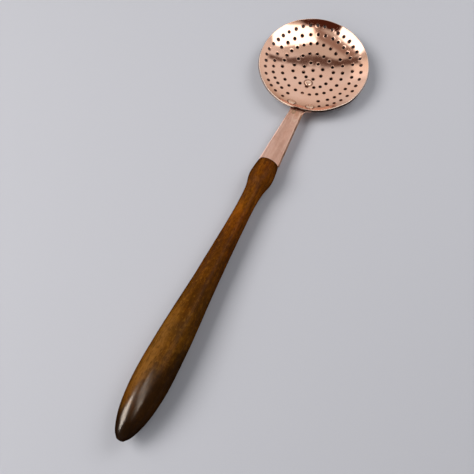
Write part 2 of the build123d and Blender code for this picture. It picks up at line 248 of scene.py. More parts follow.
# ------------------------------------------------------------------ mesh helpers
def to_world(points):
    """From millimetres about the bowl's axis to the CAD frame in metres."""
    return (np.asarray(points, float) + np.array([AXIS_X, AXIS_Y, 0.0])) * MM


def make_object(name, points, faces, loop_normals=None):
    mesh = bpy.data.meshes.new(name)
    mesh.from_pydata([tuple(point) for point in to_world(points)], [],
                     [tuple(int(i) for i in face) for face in faces])
    mesh.validate(clean_customdata=False)
    mesh.update()
    mesh.polygons.foreach_set("use_smooth", np.ones(len(mesh.polygons), bool))
    ob = bpy.data.objects.new(name, mesh)
    bpy.context.scene.collection.objects.link(ob)
    if loop_normals is not None:
        mesh.normals_split_custom_set([tuple(normal) for normal in loop_normals])
    return ob


def face_outwards(ob):
    mesh = bmesh.new()
    mesh.from_mesh(ob.data)
    bmesh.ops.recalc_face_normals(mesh, faces=mesh.faces)
    mesh.to_mesh(ob.data)
    mesh.free()


def set_attr(ob, name, values):
    attr = ob.data.attributes.new(name, "FLOAT", "POINT")
    attr.data.foreach_set("value", np.asarray(values, np.float32))


def add_points(verts, points):
    """Append the points and return their numbers."""
    verts.extend(points)
    return np.arange(len(verts) - len(points), len(verts))


def pairs(ring):
    return zip(ring, np.roll(ring, -1))


def band(first, second, flip=False):
    """Quads between two closed rings of equal length; `flip` reverses their winding."""
    quads = np.stack([first, np.roll(first, -1, 0), np.roll(second, -1, 0), second], 1)
    return list(quads[:, [0, 3, 2, 1]] if flip else quads)


# ------------------------------------------------------------------ the bowl
HOLE_SEGMENTS = 28
RIM_TAG = -2
RIM_START = RIM_IN - 0.52 * RIM_COS          # where the rim's rounding starts
GRID_STEP = 1.3


def bowl_plan():
    """Plan points of the sheet, their tags and the triangles between them.

    The tag is the hole's number on a hole's edge, RIM_TAG on the rim and -1 elsewhere.
    """
    points, tags = [], []
    for i in range(len(PUNCH_XY)):
        steps = (0.0, 0.11, 0.27, 0.52, 0.95, 1.6) if i < len(HOLES) else (0.0, 0.3, 0.8)
        for k, step in enumerate(steps):
            radius = PUNCH_R[i] + step
            for j in range(HOLE_SEGMENTS):
                angle = 2 * math.pi * (j + 0.5 * (k % 2)) / HOLE_SEGMENTS
                points.append(
                    PUNCH_XY[i]
                    + OUTWARD[i] * (radius * math.cos(angle)) * math.cos(PUNCH_SLOPE[i])
                    + AROUND[i] * (radius * math.sin(angle)))
                tags.append(i if k == 0 else -1)
    # radius, number of points, turn in steps and tag of the rings at the rim
    for radius, count, turn, tag in ((RIM_START, 480, 0.0, RIM_TAG),
                                     (RIM_START - 0.7, 440, 0.5, -1),
                                     (RIM_START - 1.6, 400, 0.5, -1)):
        for j in range(count):
            angle = 2 * math.pi * (j + turn) / count
            points.append((radius * math.cos(angle), radius * math.sin(angle)))
            tags.append(tag)
    grid = []
    for row in range(-60, 61):
        for column in range(-60, 61):
            x = (column + 0.5 * (row % 2)) * GRID_STEP
            y = row * GRID_STEP * math.sqrt(3) / 2
            if math.hypot(x, y) < RIM_START - 2.3:
                grid.append((x, y))
    grid = np.array(grid)
    grid = grid[hole_distance(grid[:, 0], grid[:, 1])[0] > 2.1]
    points, tags = np.array(points + list(grid)), np.array(tags + [-1] * len(grid))

    x, y = points[:, 0], points[:, 1]
    clear = (tags >= 0) | (hole_distance(x, y)[0] > 0.06)
    keep = (clear & (np.hypot(x, y) < RIM_START + 1e-6)) | (tags == RIM_TAG)
    points, tags = points[keep], tags[keep]

    result = delaunay_2d_cdt([Vector(point) for point in points], [], [], 0, 1e-7)
    source = [numbers[0] for numbers in result[3]]
    triangles = np.array([[source[i] for i in face] for face in result[2]])
    tag = tags[triangles]
    inside_hole = (tag[:, 0] >= 0) & (tag[:, 0] == tag[:, 1]) & (tag[:, 1] == tag[:, 2])
    triangles = triangles[~inside_hole]
    first = points[triangles[:, 0]]
    side1, side2 = points[triangles[:, 1]] - first, points[triangles[:, 2]] - first
    area = side1[:, 0] * side2[:, 1] - side1[:, 1] * side2[:, 0]
    solid = np.abs(area) > 1e-9
    triangles, area = triangles[solid], area[solid]
    triangles[area < 0] = triangles[area < 0][:, ::-1]
    return points, tags, triangles


def rim_section():
    """Points round the cut edge: distance out along the sheet, depth through it, normal's tilt."""
    thick = SHEET + UPSET
    corner = [(-RIM_ROUND + RIM_ROUND * math.sin(tilt), RIM_ROUND - RIM_ROUND * math.cos(tilt), tilt)
              for tilt in np.radians([22.5, 45, 67.5, 90])]
    flat = [(0.0, depth, math.pi / 2) for depth in (0.75, 1.0, 1.2, 1.6)]
    lower = [(out, thick - depth, math.pi - tilt) for out, depth, tilt in reversed(corner)]
    return corner + flat + lower


def rim_row(cosine, sine, out, depth, tilt):
    """One row of points and normals round the cut edge."""
    depth = depth * (SHEET + upset_at(cosine, sine)) / (SHEET + UPSET)
    radius = RIM_IN + out * RIM_COS + depth * RIM_SIN
    height = height_at(RIM_IN) + out * RIM_SIN - depth * RIM_COS
    held = np.minimum(radius, 69.5)
    warp_x, warp_y = rim_warp(held * cosine, held * sine)
    outward = np.column_stack(
        [RIM_COS * cosine, RIM_COS * sine, np.full_like(cosine, RIM_SIN)])
    upward = np.column_stack(
        [-RIM_SIN * cosine, -RIM_SIN * sine, np.full_like(cosine, RIM_COS)])
    push = dents(RIM_IN * cosine, RIM_IN * sine)
    spots = np.column_stack([warp_x + (radius - held) * cosine,
                             warp_y + (radius - held) * sine, height])
    return (spots + upward * push[:, None],
            math.sin(tilt) * outward + math.cos(tilt) * upward)


def rivet_gap_shade_at(x, y):
    """Painted shade in the gap under each rivet head: 1 along the head's foot, fading to either side.
    """
    near = np.full(len(x), 99.0)
    for i, (_, _, _, head_r, domed) in enumerate(RIVETS):
        out, around = over_sheet(len(HOLES) + i, x, y)
        gap = np.abs(np.hypot(out / (1.0 if domed else 0.85), around) - head_r - 0.25)
        width = 0.8 + 0.5 * np.abs(around) / np.maximum(np.hypot(out, around), 0.1)
        near = np.minimum(near, gap / width)
    return np.exp(-(near / 0.60) ** 2)


def build_bowl():
    points, tags, triangles = bowl_plan()
    count = len(points)
    x, y = points[:, 0], points[:, 1]
    distance, _ = hole_distance(x, y)
    top, normals = inside_face(x, y), face_normals(x, y)
    under = top.copy()
    rings = [np.flatnonzero(tags == i) for i in range(len(PUNCH_XY))]
    for centre, ring in zip(PUNCH_XY, rings):      # each hole is a little narrower below
        under[ring, :2] += unit(centre - points[ring]) * 0.20
    # thicker at the rim, and by a small burr round each hole
    thickness = (SHEET + upset_at(x, y) * smooth(65.8, 69.0, np.hypot(x, y))
                 + 0.06 * np.exp(-np.maximum(distance, 0) / 0.5))
    under = under - sheet_normal(x, y) * thickness[:, None]

    verts = list(top) + list(under)
    turned = triangles[:, [0, 2, 1]]
    faces = list(triangles) + list(turned + count)
    loop_normals = list(normals[triangles].reshape(-1, 3)) + list(-normals[turned].reshape(-1, 3))

    # hole walls, with slightly rounded mouths
    for centre, ring in zip(PUNCH_XY, rings):
        rows = [(ring, top[ring])]
        for depth, inset in ((0.10, 0.04), (0.5, 0.10), (0.93, 0.20)):
            spots = top[ring] * (1 - depth) + under[ring] * depth
            spots[:, :2] += unit(centre - spots[:, :2]) * inset
            rows.append((add_points(verts, spots), spots))
        rows.append((ring + count, under[ring]))
        facing = [unit(np.column_stack([centre - spots[:, :2], np.zeros(len(spots))]))
                  for _, spots in rows]
        for q in range(len(rows) - 1):
            faces += band(rows[q][0], rows[q + 1][0])
            loop_normals.extend(np.concatenate(band(facing[q], facing[q + 1])))

    # the cut rim
    rim_from = len(verts)
    rim = np.flatnonzero(tags == RIM_TAG)
    angle = np.arctan2(points[rim, 1], points[rim, 0])
    rows = [(rim, normals[rim])]
    for station in rim_section():
        spots, row_normals = rim_row(np.cos(angle), np.sin(angle), *station)
        rows.append((add_points(verts, spots), row_normals))
    rows.append((rim + count, -normals[rim]))
    for (first, first_normals), (second, second_normals) in zip(rows[:-1], rows[1:]):
        faces += band(first, second, flip=True)
        loop_normals.extend(np.concatenate(band(first_normals, second_normals, flip=True)))

    verts = np.array(verts)
    ob = make_object("bowl_sheet", verts, faces, loop_normals)

    # what the finish depends on
    x, y = verts[:, 0], verts[:, 1]
    cut_edge = np.zeros(len(verts))
    cut_edge[rim_from:] = 1
    inside = cut_edge.copy()
    inside[:count] = 1
    # painted shade: the cut edge's lower part is coloured near black, and more of it over the strap
    rim_low_shade = np.zeros(len(verts))               # the rim's darker lower part
    bearing = np.degrees(np.arctan2(y, x)) % 360
    for (row, _), (_, depth, _) in zip(rows[1:-1], rim_section()):
        turn = bearing[row]
        lower = smooth(0.85, 1.1, depth) * (
            0.62 + 0.38 * smooth(280, 288, turn) * smooth(352, 335, turn))
        over_strap = (0.9 * smooth(0.3, 0.7, depth) * smooth(268, 274, turn)
                      * smooth(306, 300, turn))
        rim_low_shade[row] = np.maximum(lower, over_strap)
    set_attr(ob, "hole_edge", np.exp(-np.maximum(hole_distance(x, y)[0], 0) / 0.65))
    set_attr(ob, "rivet_gap_shade", rivet_gap_shade_at(x, y))
    set_attr(ob, "rim", smooth(66.5, 69.6, np.hypot(x, y)))
    set_attr(ob, "inside", inside)
    set_attr(ob, "rim_low_shade", rim_low_shade)
    set_attr(ob, "cut_edge", cut_edge)
    return ob


# ------------------------------------------------------------------ strap, palm and tang, one forging
# Under the bowl the palm follows the sheet, an arc bends it, and it runs straight to the wood.
STRAP = 2.0                                  # thickness
GAP = 0.03                                   # between the sheet and the palm
BEND_START = 63.0                            # distance from the axis
BEND_ARC = 9.0
bend_at = (math.hypot(HANDLE_X, BEND_START), SHEET + GAP + STRAP / 2)
BEND_SLOPE = float(slope_at(*bend_at))
BEND_Z = float(height_at(*bend_at)) - 0.42
STRAIGHT_START = BEND_START + BEND_ARC * math.sin(BEND_SLOPE)
STRAIGHT_Z = BEND_Z + BEND_ARC * (1 - math.cos(BEND_SLOPE))
# the handle's axis passes 20.96 above the table, 431 from the bowl's axis
RISE = math.atan((20.96 - STRAIGHT_Z) / (431.0 - STRAIGHT_START))

PALM_BEARING = math.radians(278.5)
TONGUE_MID, TONGUE_R = 19.8, 6.2             # the tongue's round end
EAR_MID, EAR_R = 59.8, 5.6                   # the round ears under the rim rivets
WAIST, WAIST_HALF, END_HALF = 73.0, 8.75, 13.3
# distance from the axis and half width of the web between tongue and strap
WEB = np.array(((45, 7.0), (50, 8.6), (54, 11.4), (57, 13.8), (60, 14.8), (64.5, 12.4),
                (66.1, 10.6), (66.9, 9.9), (67.8, 9.35), (69.3, 8.95), (71.0, 8.78), (73.0, 8.75)))
EDGE_ROUND = 0.42
FLAT_POINTS = 34                             # across the upper and the lower face
MARK_X, MARK_Y, MARK_R = 5.9, -72.4, 1.75    # a light punch mark
STRAP_END = WOOD_FRONT - 0.05


def strap_mid_z(distance):
    """Middle of the strap's thickness at this distance from the bowl's axis along -Y."""
    distance = np.asarray(distance, float)
    under_bowl = BEND_Z - (BEND_START - distance) * math.tan(BEND_SLOPE)
    lean = math.sin(BEND_SLOPE) - np.clip((distance - BEND_START) / BEND_ARC, 0, 2)
    arc = BEND_Z + BEND_ARC * (np.sqrt(np.maximum(1 - lean ** 2, 0)) - math.cos(BEND_SLOPE))
    straight = STRAIGHT_Z + (distance - STRAIGHT_START) * math.tan(RISE)
    return np.where(distance < BEND_START, under_bowl,
                    np.where(distance < STRAIGHT_START, arc, straight))


def strap_half_width(distance):
    if distance < TONGUE_MID:
        return math.sqrt(max(TONGUE_R**2 - (TONGUE_MID - distance) ** 2, 1e-4))
    if distance < 45:
        return TONGUE_R + (distance - TONGUE_MID) * 0.035
    if distance < WAIST:
        ears = 0.0
        if abs(distance - EAR_MID) < EAR_R:
            ears = 11.5 + math.sqrt(EAR_R**2 - (distance - EAR_MID) ** 2)
        return max(float(np.interp(distance, WEB[:, 0], WEB[:, 1])), ears)
    return WAIST_HALF + (distance - WAIST) * (END_HALF - WAIST_HALF) / (WOOD_FRONT - WAIST)


def strap_faces(x, y):
    """Heights of the strap's upper and lower faces."""
    radius = np.hypot(x, y)
    middle = strap_mid_z(-y)
    free = smooth(60.5, 65.5, radius)
    upper = height_at(radius, SHEET + GAP) * (1 - free) + (middle + STRAP / 2) * free
    lower = height_at(radius, SHEET + GAP + STRAP) * (1 - free) + (middle - STRAP / 2) * free
    # hammered and filed: faint unevenness
    wobble = (0.045 * np.sin(0.19 * y + 0.35 * x + 1.0) + 0.03 * np.sin(0.43 * y - 0.5 * x + 2.0)
              + 0.018 * np.sin(0.9 * y + 0.8 * x) + 0.012 * np.sin(1.7 * x - 0.6 * y + 0.5))
    past_rim = smooth(70, 76, -y)
    upper = upper + wobble * (0.25 + 0.75 * past_rim)
    lower = lower + wobble * 0.6 * past_rim
    # the punch mark, with a low raised ring
    depth = 0.22
    away = ((x - MARK_X) ** 2 + (y - MARK_Y) ** 2) / (MARK_R * 0.75) ** 2
    ring = np.exp(-((np.sqrt(away) - 1.55) / 0.35) ** 2)
    return upper - depth * np.exp(-away) + depth * 0.35 * ring, lower


def mirrored(section):
    return [(-across, depth, part) for across, depth, part in reversed(section)]


def strap_section(half, filed):
    """Section across the strap: distance to +X, depth from the top, part of the chamfer crossed.

    Past the bowl (filed = 1) the upper edges are filed, the one on the +X side broader.
    """
    rounding = min(EDGE_ROUND, half * 0.45)

    def upper_edge(width, depth):
        width = rounding + (width - rounding) * filed
        depth = rounding + (depth - rounding) * filed
        return width, [(half - width + width * part ** (1 - 0.35 * (1 - filed)),
                        depth * part ** (1.12 + 0.6 * (1 - filed)), part)
                       for part in (0.07, 0.30, 0.60, 0.90, 1.0)]

    narrow, left_edge = upper_edge(1.15, 0.85)
    broad, right_edge = upper_edge(2.15, 1.40)
    curve = rounding * 0.8
    corner = [(half - curve + curve * math.cos(angle), STRAP - curve + curve * math.sin(angle), 0.6)
              for angle in np.radians(np.linspace(0, 90, 5))]
    flat = half - rounding
    section = [(across, 0.0, 0.0)
               for across in np.linspace(-(half - narrow), half - broad, FLAT_POINTS)]
    section += right_edge + corner
    section += [(across, STRAP, 0.0) for across in np.linspace(-flat, flat, FLAT_POINTS)[::-1]]
    return np.array(section + mirrored(corner[:-1]) + mirrored(left_edge))


def build_strap():
    stations = np.concatenate([
        TONGUE_MID - TONGUE_R + TONGUE_R * (1 - np.cos(np.linspace(0, math.pi / 2, 14))),
        np.linspace(20.6, 52.5, 28),
        [54.75],
        np.linspace(55.0, 66.0, 26),
        np.linspace(66.3, 74.0, 18),
        np.linspace(74.8, STRAP_END, 84),
    ])
    verts, rings, chamfer = [], [], []
    for distance in stations:
        # from the palm's own line over to the handle's line
        over = smooth(58, 70, distance)
        palm = distance * np.array([math.cos(PALM_BEARING), math.sin(PALM_BEARING)])
        middle = palm * (1 - over) + np.array([HANDLE_X, -distance]) * over
        heading = PALM_BEARING * (1 - over) + math.radians(270.0) * over
        ripple = smooth(74, 80, distance)
        half = (strap_half_width(distance) + 0.06 * math.sin(distance * 0.31 + 0.4) * ripple
                + 0.03 * math.sin(distance * 0.83) * ripple)
        filed = float(smooth(68.5, 73.5, distance))
        across, depth, part = strap_section(half, filed).T
        x, y = middle[0] - math.sin(heading) * across, middle[1] + math.cos(heading) * across
        upper, lower = strap_faces(x, y)
        z = upper - depth * (upper - lower) / STRAP
        rings.append(add_points(verts, np.column_stack([x, y, z])))
        chamfer.extend(np.where(across > 0, 1, -1) * smooth(0.0, 0.25, part) * filed)
    faces = []
    for first, second in zip(rings[:-1], rings[1:]):
        faces += band(first, second)
    tip = len(verts)
    verts.append(np.mean([verts[i] for i in rings[0]], axis=0))
    faces += [(after, i, tip) for i, after in pairs(rings[0])]

    # shoulders and tang: distance past the strap's end, half width
    ring = rings[-1]
    end = np.array([verts[i] for i in ring])
    across = np.clip((end[:, 0] - HANDLE_X) / END_HALF, -1, 1)
    height = (end[:, 2] - float(strap_mid_z(STRAP_END))) * 0.97
    for past, half in ((0.0, 6.0), (0.0001, 6.0), (30.0, 5.3), (60.0, 4.6), (73.0, 4.2), (76.0, 1.6)):
        distance = STRAP_END + past
        spots = np.column_stack([HANDLE_X + across * half, np.full_like(across, -distance),
                                 float(strap_mid_z(distance)) + height])
        previous, ring = ring, add_points(verts, spots)
        faces += band(previous, ring)
    tip = len(verts)
    verts.append(np.mean([verts[i] for i in ring], axis=0))
    faces += [(i, after, tip) for i, after in pairs(ring)]

    verts = np.array(verts)
    ob = make_object("strap_forging", verts, faces)
    face_outwards(ob)
    # chamfers that carry painted light: a highlight on the -X one, shade on the +X one
    edge = np.zeros(len(verts))
    edge[:len(chamfer)] = chamfer
    set_attr(ob, "edge", np.maximum(-edge, 0))
    set_attr(ob, "shade_edge", np.maximum(edge, 0))
    set_attr(ob, "along", -verts[:, 1])
    away = np.hypot(verts[:, 0] - MARK_X, (verts[:, 1] - MARK_Y) * 0.9)
    set_attr(ob, "struck", np.exp(-((away - MARK_R) / 0.45) ** 2))
    return ob


# ------------------------------------------------------------------ rivets
def lathe(profile, segments, axes, wobble):
    """Turned solid from a profile of (radius, height), pole to pole.

    `axes` is the origin and the x, y and z directions; z is the axis it is turned about.
    """
    origin, x_dir, y_dir, z_dir = axes
    angles = 2 * math.pi * np.arange(segments) / segments
    verts, rings, faces = [], [], []
    for radius, height in profile:
        if radius < 1e-6:
            spots = [origin + z_dir * height]
        else:
            radius, height = wobble(radius, height, angles)
            spots = (origin + np.outer(radius * np.cos(angles), x_dir)
                     + np.outer(radius * np.sin(angles), y_dir)
                     + np.outer(height * np.ones(segments), z_dir))
        rings.append(add_points(verts, spots))
    for first, second in zip(rings[:-1], rings[1:]):
        if len(first) == 1:
            faces += [(first[0], i, after) for i, after in pairs(second)]
        elif len(second) == 1:
            faces += [(i, second[0], after) for i, after in pairs(first)]
        else:
            faces += band(first, second, flip=True)
    return np.array(verts), faces


def sheet_axes(distance, bearing):
    """Axes on the bowl's inside face, z along its normal."""
    bearing = math.radians(bearing)
    slope = float(slope_at(distance))
    cosine, sine = math.cos(bearing), math.sin(bearing)
    origin = np.array([distance * cosine, distance * sine, float(height_at(distance))])
    z_dir = np.array([-math.sin(slope) * cosine, -math.sin(slope) * sine, math.cos(slope)])
    x_dir = np.array([-sine, cosine, 0.0])
    origin = origin + z_dir * float(dents(origin[0], origin[1]))
    return origin, x_dir, np.cross(z_dir, x_dir), z_dir


def rivet_profile(head_r, domed):
    """Head, shank through sheet and palm, and tail."""
    if domed:
        head_h, tail_r, tail_h = 2.25, 4.5, 2.45
        profile = [(0, head_h)]
        for angle in np.linspace(0.06, 1, 22) * math.pi / 2:
            profile.append((head_r * math.sin(angle) ** 0.92,
                            0.22 + (head_h - 0.22) * math.cos(angle) ** 1.15))
        profile.append((head_r, 0.12))
    else:
        head_h, tail_r, tail_h = 0.92, 4.2, 1.3
        profile = [(0, head_h + 0.10)]
        for part in np.linspace(0.08, 0.8, 10):
            profile.append((head_r * part, head_h + 0.10 * (1 - part * part)))
        for angle in np.radians(np.linspace(15, 90, 7)):
            profile.append((head_r - 0.75 + 0.75 * math.sin(angle),
                            head_h - 0.62 + 0.65 * math.cos(angle)))
        profile.append((head_r, 0.14))
    stack = SHEET + GAP + STRAP
    tail_z = -stack - 0.02
    profile += [(head_r - 0.05, 0.0), (head_r - 0.3, -0.02), (2.28, -0.02), (2.25, -0.3),
                (2.25, -stack + 0.1), (2.25, tail_z), (tail_r - 0.1, tail_z)]
    for angle in np.radians(np.linspace(10, 80, 7)):
        profile.append((tail_r - 1.5 + 1.5 * math.cos(angle), tail_z - tail_h * math.sin(angle)))
    return profile + [(tail_r - 1.7, tail_z - tail_h), ((tail_r - 1.7) * 0.5, tail_z - tail_h),
                      (0, tail_z - tail_h)]


def build_rivet(name, distance, bearing, head_r, domed):
    phase = np.random.RandomState(int(distance * 10) % 1000).uniform(0, 6.28, 8)

    def wobble(radius, height, angle):
        part = radius / 5.0
        if height > 0.2:
            height = height + (
                0.05 * part * np.sin(angle * 2 + phase[3]) * (1 - 0.3 * part)
                + 0.03 * np.sin(4 * part * np.cos(angle + phase[4]) + phase[5]))
        if radius > 2.4:
            radius = radius * (1 + 0.012 * np.sin(2 * angle + phase[0])
                               + 0.010 * np.sin(3 * angle + phase[1])
                               + 0.005 * np.sin(7 * angle + phase[2]))
        return radius, height

    axes = sheet_axes(distance, bearing)
    origin, x_dir, y_dir, z_dir = axes
    verts, faces = lathe(rivet_profile(head_r, domed), 56, axes, wobble)
    if domed:
        verts[:, 2] = np.maximum(verts[:, 2], 0.0)  # the tail is dressed flat on the table
    else:                                           # the head is struck narrower along y_dir
        local = verts - origin
        verts = verts - np.outer((local @ y_dir) * 0.15 * (local @ z_dir > -0.1), y_dir)
    ob = make_object(name, verts, faces)

    # painted shade: a dark line round the head's foot, wider on the dome's +Y side
    local = verts - origin
    radius = np.hypot(local @ x_dir, local @ y_dir)
    if domed:
        far = local[:, 1] / np.maximum(np.hypot(local[:, 0], local[:, 1]), 1e-6)
        foot = np.maximum(
            smooth(head_r - 0.55, head_r - 0.1, radius) * smooth(-0.5, 0.2, far),
            smooth(head_r - 1.6, head_r - 0.4, radius) * smooth(0.0, 0.6, far))
    else:
        foot = smooth(4.15, 4.6, radius) * 0.65
    set_attr(ob, "foot", foot)
    return ob


# ------------------------------------------------------------------ the wooden handle
# distance from the bowl's axis, diameter
TURNED = np.array((
    (152.2, 25.6), (157.0, 27.2), (162.5, 28.5), (168.0, 29.4), (173.0, 29.2),
    (178.2, 27.8), (183.2, 25.2), (188.3, 23.0), (194.0, 21.8), (203.5, 20.6),
    (213.5, 20.3), (233.4, 21.3), (262.6, 23.8), (291.1, 26.5), (319.0, 29.6),
    (346.2, 33.4), (372.8, 37.2), (398.7, 40.1), (418.0, 41.5), (436.6, 41.9),
    (450.0, 40.8), (464.5, 38.0), (477.1, 33.8), (487.5, 28.4), (495.5, 22.4),
    (501.2, 16.2), (504.7, 9.8),
))


def clamped_spline(x, y, start_slope, end_slope, at):
    """Values at `at` of the cubic spline through (x, y) with the given end slopes."""
    step = np.diff(x)
    chord = np.diff(y) / step
    matrix, right = np.zeros((len(x), len(x))), np.zeros(len(x))
    matrix[0, :2] = 2 * step[0], step[0]
    right[0] = 6 * (chord[0] - start_slope)
    matrix[-1, -2:] = step[-1], 2 * step[-1]
    right[-1] = 6 * (end_slope - chord[-1])
    for i in range(1, len(x) - 1):
        matrix[i, i - 1:i + 2] = step[i - 1], 2 * (step[i - 1] + step[i]), step[i]
        right[i] = 6 * (chord[i] - chord[i - 1])
    bend = np.linalg.solve(matrix, right)
    i = np.clip(np.searchsorted(x, at) - 1, 0, len(x) - 2)
    past = at - x[i]
    return (y[i] + (chord[i] - step[i] * (2 * bend[i] + bend[i + 1]) / 6) * past
            + bend[i] / 2 * past**2 + (bend[i + 1] - bend[i]) / (6 * step[i]) * past**3)


def handle_profile():
    """Radius and distance along the handle, from its front face to its rounded point."""
    profile = [(radius, 0.0) for radius in (0.0, 3.0, 6.0, 8.5, 10.2, 11.0)]
    for angle in np.radians([20, 40, 60, 80]):
        profile.append((11.0 + 1.55 * math.sin(angle), 1.55 * (1 - math.cos(angle)) * 0.95))
    along, radii = TURNED[:, 0] - WOOD_FRONT, TURNED[:, 1] / 2
    end, end_r = along[-1], radii[-1]
    stations = np.concatenate([
        np.linspace(2.2, 60, 110), np.linspace(60.8, 335, 190), np.linspace(336, 354.7, 46)])
    stations = np.unique(np.clip(stations, 2.2, end))
    profile += zip(clamped_spline(along, radii, 0.17, -1.05, stations), stations)
    length = WOOD_TIP - WOOD_FRONT
    for angle in np.radians(np.linspace(8, 82, 12)):
        profile.append((end_r * math.cos(angle), end + (length - end) * math.sin(angle)))
    return profile + [(0.0, length)]


def build_handle():
    phase = np.random.RandomState(11).uniform(0, 6.28, 10)

    def wobble(radius, height, angle):
        uneven = (0.10 * np.sin(2 * angle + phase[0] + height * 0.006)
                  + 0.05 * np.sin(3 * angle + phase[1] - height * 0.011)
                  + 0.05 * math.sin(height * 0.09 + phase[2]) * np.sin(angle + phase[3])
                  + 0.03 * np.sin(height * 0.21 + 2 * angle + phase[4])
                  + 0.010 * math.sin(height * 1.3 + phase[5]))
        return radius + uneven * float(smooth(4, 30, height) * smooth(0, 6, radius)), height

    front = np.array([HANDLE_X, -WOOD_FRONT,
                      STRAIGHT_Z + (WOOD_FRONT - STRAIGHT_START) * math.tan(RISE)])
    along = np.array([0.0, -math.cos(RISE), math.sin(RISE)])
    side = np.array([1.0, 0.0, 0.0])
    verts, faces = lathe(handle_profile(), 168, (front, side, np.cross(along, side), along), wobble)
    ob = make_object("turned_handle", verts, faces)
    face_outwards(ob)
    distance = (verts - front) @ along
    set_attr(ob, "along", distance)
    set_attr(ob, "front", 1 - smooth(0.0, 2.5, distance))
    return ob


# ------------------------------------------------------------------ node helpers
class Field:
    """A node's output; arithmetic on it adds math nodes."""

    def __init__(self, socket):
        self.socket = socket

    def __add__(self, other):
        return math_node("ADD", self, other)

    def __sub__(self, other):
        return math_node("SUBTRACT", self, other)

    def __mul__(self, other):
        return math_node("MULTIPLY", self, other)

    def __truediv__(self, other):
        return math_node("DIVIDE", self, other)

    def __abs__(self):
        return math_node("ABSOLUTE", self)


def fill(node, inputs):
    """Link fields to the node's inputs, and set the others to plain values."""
    for key, value in inputs.items():
        socket = node.inputs[key]
        if isinstance(value, Field):
            node.id_data.links.new(value.socket, socket)
        else:
            socket.default_value = (*value, 1) if socket.type == "RGBA" else value


def new_node(kind, inputs, tree=None, **settings):
    """A node in `tree`, or else in the tree of the fields it takes in."""
    tree = tree or next(
        value.socket.id_data for value in inputs.values() if isinstance(value, Field))
    node = tree.nodes.new(kind)
    for key, value in settings.items():
        setattr(node, key, value)
    fill(node, inputs)
    return node


def field(kind, inputs, output=0, **settings):
    return Field(new_node(kind, inputs, **settings).outputs[output])


def math_node(operation, *operands, clamp=False):
    return field("ShaderNodeMath", dict(enumerate(operands)), operation=operation, use_clamp=clamp)


def vector_math(operation, *operands, output=0):
    return field("ShaderNodeVectorMath", dict(enumerate(operands)), output, operation=operation)


def scaled(vector, factor):
    return field("ShaderNodeVectorMath", {0: vector, "Scale": factor}, operation="SCALE")


def separate(vector):
    return [Field(socket) for socket in new_node("ShaderNodeSeparateXYZ", {0: vector}).outputs]


def ramp(value, span, to=(0.0, 1.0)):
    """Smooth step across `span`, from the first value of `to` to the second."""
    return field("ShaderNodeMapRange", {
        "Value": value, "From Min": span[0], "From Max": span[1], "To Min": to[0], "To Max": to[1],
    }, "Result", interpolation_type="SMOOTHSTEP")


def mix(amount, first, second):
    return field("ShaderNodeMix", {0: amount, 6: first, 7: second}, 2,
                 data_type="RGBA", blend_type="MIX")


def tint(base, amount, colour):
    return mix(amount, base, colour)


def noise(place, scale, detail, rough, distortion=0.0, output=0):
    return field("ShaderNodeTexNoise", {
        "Vector": place, "Scale": scale, "Detail": detail, "Roughness": rough,
        "Distortion": distortion}, output)


def attribute(tree, name):
    return field("ShaderNodeAttribute", {}, "Fac", tree=tree, attribute_name=name)


def texture_place(tree, output="Object"):
    return field("ShaderNodeTexCoord", {}, output, tree=tree)


def geometry(tree, output):
    return field("ShaderNodeNewGeometry", {}, output, tree=tree)


def coords(tree, scale=(1, 1, 1), shift=(0, 0, 0), turn=0):
    """Object coordinates, scaled, shifted and turned about Z by `turn` radians."""
    return field("ShaderNodeMapping", {
        "Vector": texture_place(tree), "Scale": scale, "Location": shift,
        "Rotation": (0, 0, turn)})


def bump(height, strength, distance, normal=None):
    inputs = {"Height": height, "Strength": strength, "Distance": distance}
    if normal is not None:
        inputs["Normal"] = normal
    return field("ShaderNodeBump", inputs)


def new_material(name):
    """A material, its node tree and its Principled shader."""
    material = bpy.data.materials.new(name)
    material.use_nodes = True
    tree = material.node_tree
    for node in list(tree.nodes):
        if node.type != "OUTPUT_MATERIAL":
            tree.nodes.remove(node)
    shader = tree.nodes.new("ShaderNodeBsdfPrincipled")
    fill(tree.nodes[0], {0: Field(shader.outputs[0])})
    return material, tree, shader


